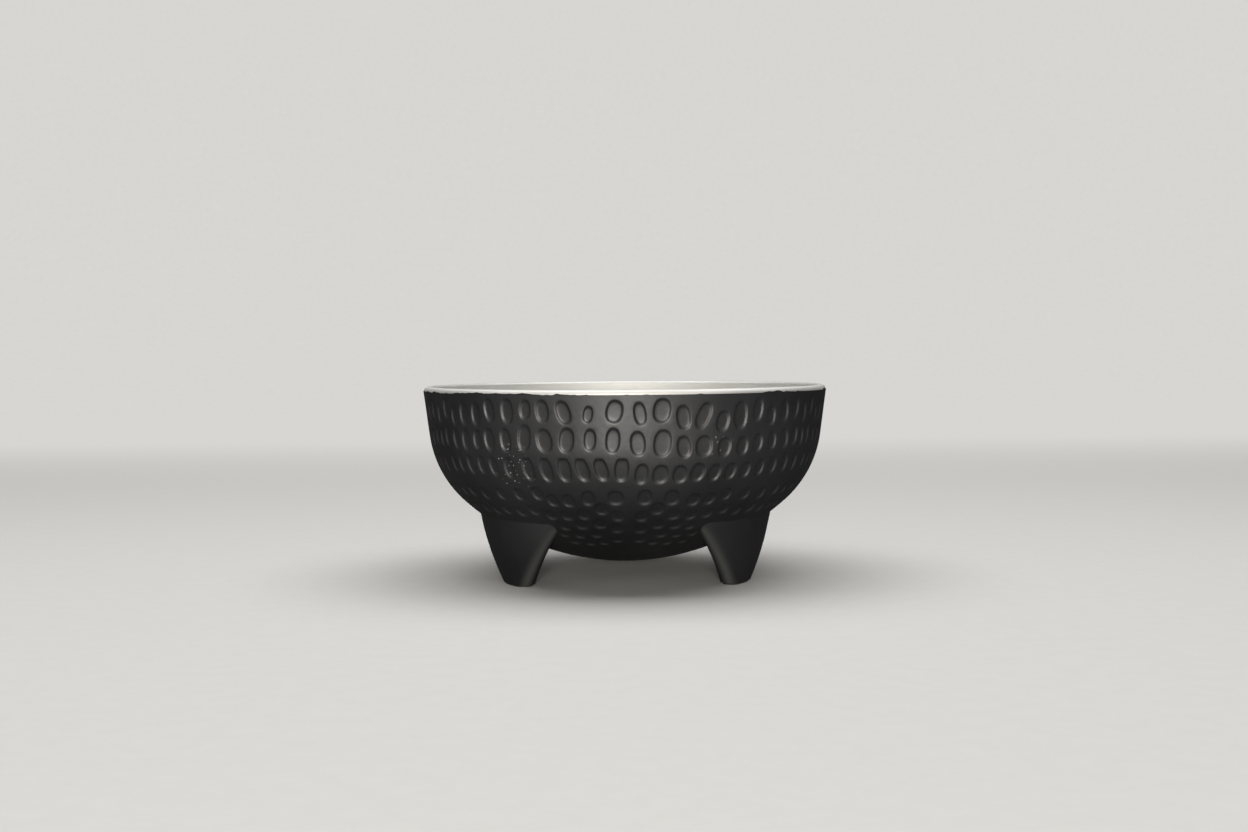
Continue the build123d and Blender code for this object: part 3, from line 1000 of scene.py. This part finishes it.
def surroundings(finish):
    """A weak cool light from all round, which looks as pale as the stage when seen directly."""
    world = bpy.data.worlds.new("studio")
    world.use_nodes = True
    tree = world.node_tree
    fill = tree.nodes["Background"]
    fill.inputs["Color"].default_value = (0.88, 0.94, 1.0, 1.0)
    pale = tree.nodes.new("ShaderNodeBackground")
    pale.inputs["Color"].default_value = rgba(finish.stage_color)
    path = tree.nodes.new("ShaderNodeLightPath")
    strength = tree.nodes.new("ShaderNodeMapRange")
    strength.inputs["To Min"].default_value = 0.05
    strength.inputs["To Max"].default_value = 0.07
    tree.links.new(path.outputs["Is Glossy Ray"], strength.inputs["Value"])
    tree.links.new(strength.outputs["Result"], fill.inputs["Strength"])
    shown = tree.nodes.new("ShaderNodeMixShader")
    tree.links.new(path.outputs["Is Camera Ray"], shown.inputs[0])
    tree.links.new(fill.outputs[0], shown.inputs[1])
    tree.links.new(pale.outputs[0], shown.inputs[2])
    tree.links.new(shown.outputs[0], tree.nodes["World Output"].inputs["Surface"])
    bpy.context.scene.world = world


def floor_and_backdrop(material):
    """A floor that sweeps up into a backdrop far behind the bowl."""
    near, far, bend, height, half_width, bend_steps = -1.6, 1.1, 0.5, 1.6, 2.4, 16
    section = [(near, 0.0), (far, 0.0)]
    for i in range(1, bend_steps + 1):
        t = pi / 2 * i / bend_steps
        section.append((far + bend * sin(t), bend * (1 - cos(t))))
    section.append((far + bend, height))
    points = [(x, y, z) for y, z in section for x in (-half_width, half_width)]
    faces = [(2 * i, 2 * i + 1, 2 * i + 3, 2 * i + 2) for i in range(len(section) - 1)]
    mesh = bpy.data.meshes.new("floor_and_backdrop")
    mesh.from_pydata(points, [], faces)
    sweep = bpy.data.objects.new("floor_and_backdrop", mesh)
    bpy.context.scene.collection.objects.link(sweep)
    mesh.materials.append(material)
    mesh.polygons.foreach_set("use_smooth", [True] * len(faces))


# ---------------------------------------------------------------------------------------------------
# Operators, one for each piece or group of like pieces


class MOLCAJETE_OT_stage(bpy.types.Operator):
    """Set up the camera, the soft studio light, the pale floor and the backdrop"""

    bl_idname = "molcajete.stage"
    bl_label = "Stage"

    def execute(self, context):
        camera()
        lamps()
        surroundings(context.scene.bowl_finish)
        floor_and_backdrop(stage_surface(context.scene.bowl_finish))
        context.scene.view_settings.view_transform = "Standard"
        return {"FINISHED"}


class MOLCAJETE_OT_body(bpy.types.Operator):
    """Model the black cast body with its field of recessed ovals"""

    bl_idname = "molcajete.body"
    bl_label = "Body"

    def execute(self, context):
        piece = bowl_body(context.scene.bowl_sizes)
        finish_piece(piece, satin_black(context.scene.bowl_finish), "black_coat", "bowl_body")
        return {"FINISHED"}


class MOLCAJETE_OT_liner(bpy.types.Operator):
    """Spin the bright liner with its rounded lip"""

    bl_idname = "molcajete.liner"
    bl_label = "Liner"

    def execute(self, context):
        piece = bowl_liner(context.scene.bowl_sizes)
        finish_piece(piece, turned_metal(context.scene.bowl_finish), "bright_aluminium", "bowl_liner")
        return {"FINISHED"}


class MOLCAJETE_OT_legs(bpy.types.Operator):
    """Cast the three splayed legs"""

    bl_idname = "molcajete.legs"
    bl_label = "Legs"

    def execute(self, context):
        # The legs' coat carries a painted highlight along their round ends
        coat = satin_black(context.scene.bowl_finish, painted_highlight=True)
        for place, azimuth in LEG_AZIMUTHS.items():
            piece = leg(place, azimuth, context.scene.bowl_sizes)
            finish_piece(piece, coat, "black_coat", f"leg_{place}")
        return {"FINISHED"}


class MOLCAJETE_OT_fittings(bpy.types.Operator):
    """Give the leg screws and the foot pads their finishes"""

    bl_idname = "molcajete.fittings"
    bl_label = "Screws and pads"

    def execute(self, context):
        steel, rubber = screw_steel(), pad_rubber()
        for place in LEG_AZIMUTHS:
            for node, material in ((f"leg_screw_{place}", steel), (f"foot_pad_{place}", rubber)):
                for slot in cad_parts[node].material_slots:
                    slot.material = material
        return {"FINISHED"}


PIECE_OPERATORS = (
    MOLCAJETE_OT_stage,
    MOLCAJETE_OT_body,
    MOLCAJETE_OT_liner,
    MOLCAJETE_OT_legs,
    MOLCAJETE_OT_fittings,
)


class MOLCAJETE_PT_panel(bpy.types.Panel):
    """Lists the bowl's sizes, finishes and pieces"""

    bl_label = "Molcajete"
    bl_idname = "MOLCAJETE_PT_panel"
    bl_space_type = "VIEW_3D"
    bl_region_type = "UI"
    bl_category = "Molcajete"

    def draw(self, context):
        for group in (context.scene.bowl_sizes, context.scene.bowl_finish):
            for name in group.bl_rna.properties.keys():
                if name not in {"rna_type", "name"}:
                    self.layout.prop(group, name)
        for operator in PIECE_OPERATORS:
            self.layout.operator(operator.bl_idname)


CLASSES = (BowlSizes, BowlFinish, *PIECE_OPERATORS, MOLCAJETE_PT_panel)


def register():
    for cls in CLASSES:
        bpy.utils.register_class(cls)
    bpy.types.Scene.bowl_sizes = PointerProperty(type=BowlSizes)
    bpy.types.Scene.bowl_finish = PointerProperty(type=BowlFinish)


def unregister():
    del bpy.types.Scene.bowl_finish
    del bpy.types.Scene.bowl_sizes
    for cls in reversed(CLASSES):
        bpy.utils.unregister_class(cls)


def main():
    register()
    bpy.ops.molcajete.stage()
    bpy.ops.molcajete.body()
    bpy.ops.molcajete.liner()
    bpy.ops.molcajete.legs()
    bpy.ops.molcajete.fittings()


if __name__ == "__main__":
    main()
